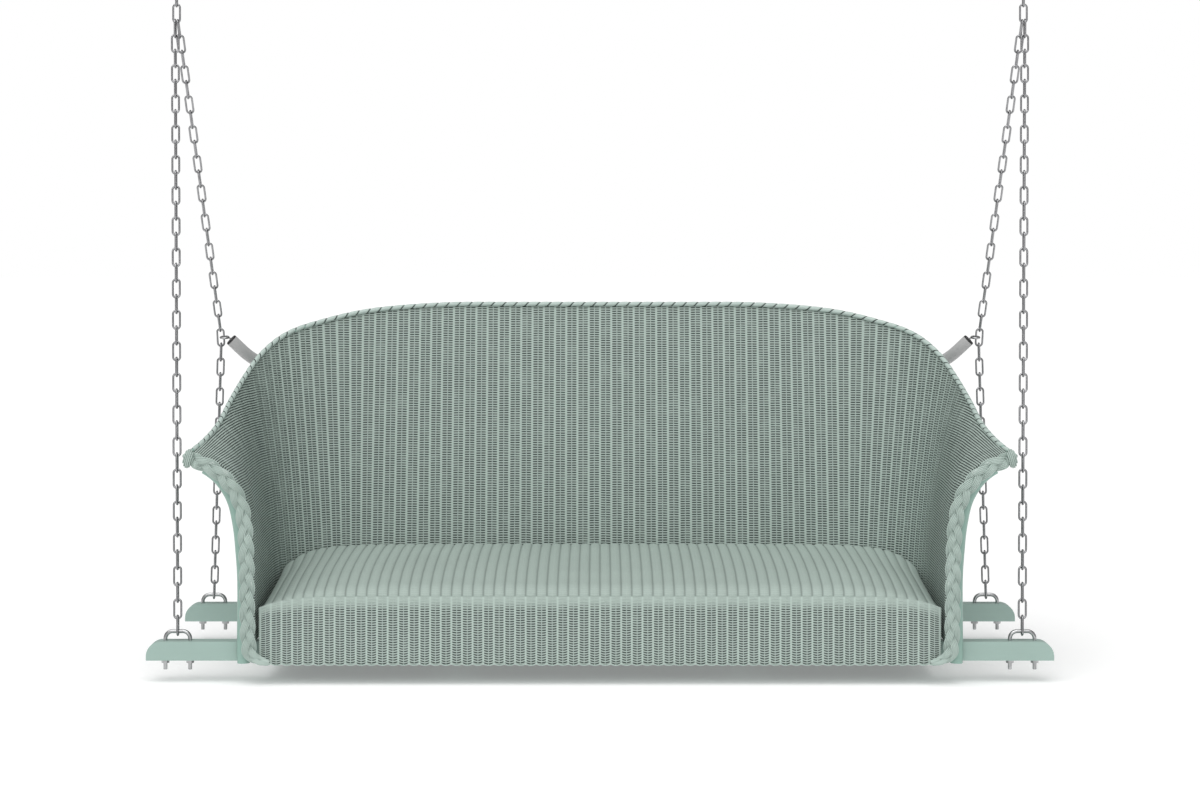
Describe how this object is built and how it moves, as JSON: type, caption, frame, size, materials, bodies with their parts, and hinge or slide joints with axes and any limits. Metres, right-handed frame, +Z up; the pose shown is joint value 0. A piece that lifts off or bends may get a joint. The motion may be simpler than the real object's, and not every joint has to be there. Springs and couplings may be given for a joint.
{
  "type": "porch swing",
  "caption": "Hanging porch swing: rounded woven bench with a sprung ribbed seat on two painted crossbars, hung by paired chains from two ceiling eyes.",
  "frame": {"origin": "midway between the two points where the top links hang on the bars of the ceiling eyes, which is the axis the bench swings about", "axes": "+X to the right as seen from the front, along the two crossbars; +Y from the front of the seat to its back; +Z up"},
  "size_m": [1.73, 0.6611, 1.4191],
  "materials": {
    "frame_wood": "satin",
    "frame_paint": "satin",
    "spring_steel": "satin",
    "clip_plastic": "matte",
    "seat_weave": "matte",
    "wall_weave": "matte",
    "braid": "matte",
    "stay_metal": "satin",
    "plug_plastic": "matte",
    "bright_steel": "polished",
    "chain_steel": "polished"
  },
  "bodies": {
    "ceiling_fixings": {"ceiling_eye_left": "bright_steel", "ceiling_eye_right": "bright_steel"},
    "hanging_bench": {"front_crossbar": "frame_wood", "rear_crossbar": "frame_wood", "seat_side_rail_left": "frame_wood", "seat_side_rail_right": "frame_wood", "seat_inner_rail_left": "frame_wood", "seat_inner_rail_right": "frame_wood", "seat_front_tube": "frame_paint", "seat_rear_tube": "frame_paint", "seat_brackets_front": "frame_paint", "seat_brackets_rear": "frame_paint", "seat_side_tube_left": "frame_paint", "seat_side_tube_right": "frame_paint", "rim_tube": "frame_paint", "arm_post_left": "frame_paint", "arm_post_right": "frame_paint", "back_upright_left": "frame_paint", "back_upright_right": "frame_paint", "corner_upright_left": "frame_paint", "corner_upright_right": "frame_paint", "seat_springs": "spring_steel", "spring_clips": "clip_plastic", "seat_pad": "seat_weave", "woven_arm_left": "wall_weave", "woven_back": "wall_weave", "woven_arm_right": "wall_weave", "front_apron": "wall_weave", "arm_braid_left": "braid", "arm_braid_right": "braid", "rim_wrap": "braid", "back_stay": "stay_metal", "stay_clamp_left": "stay_metal", "stay_clamp_right": "stay_metal", "stay_plug_left": "plug_plastic", "stay_plug_right": "plug_plastic", "clamp_screws": "bright_steel", "chain_ring_left": "bright_steel", "chain_ring_right": "bright_steel", "u_bolt_front_left": "bright_steel", "u_bolt_rear_left": "bright_steel", "u_bolt_front_right": "bright_steel", "u_bolt_rear_right": "bright_steel", "u_bolt_washers": "bright_steel", "u_bolt_nuts": "bright_steel", "top_link_left": "chain_steel", "top_link_right": "chain_steel", "junction_link_left": "chain_steel", "junction_link_right": "chain_steel", "front_chain_left": "chain_steel", "front_chain_right": "chain_steel", "held_link_left": "chain_steel", "held_link_right": "chain_steel", "rear_chain_upper_left": "chain_steel", "rear_chain_upper_right": "chain_steel", "rear_chain_lower_left": "chain_steel", "rear_chain_lower_right": "chain_steel"}
  },
  "joints": [
    {"name": "swing", "type": "hinge", "parent": "ceiling_fixings", "child": "hanging_bench", "pos_m": [0, 0, 0], "axis": [1, 0, 0], "range_deg": [-25, 25]}
  ]
}
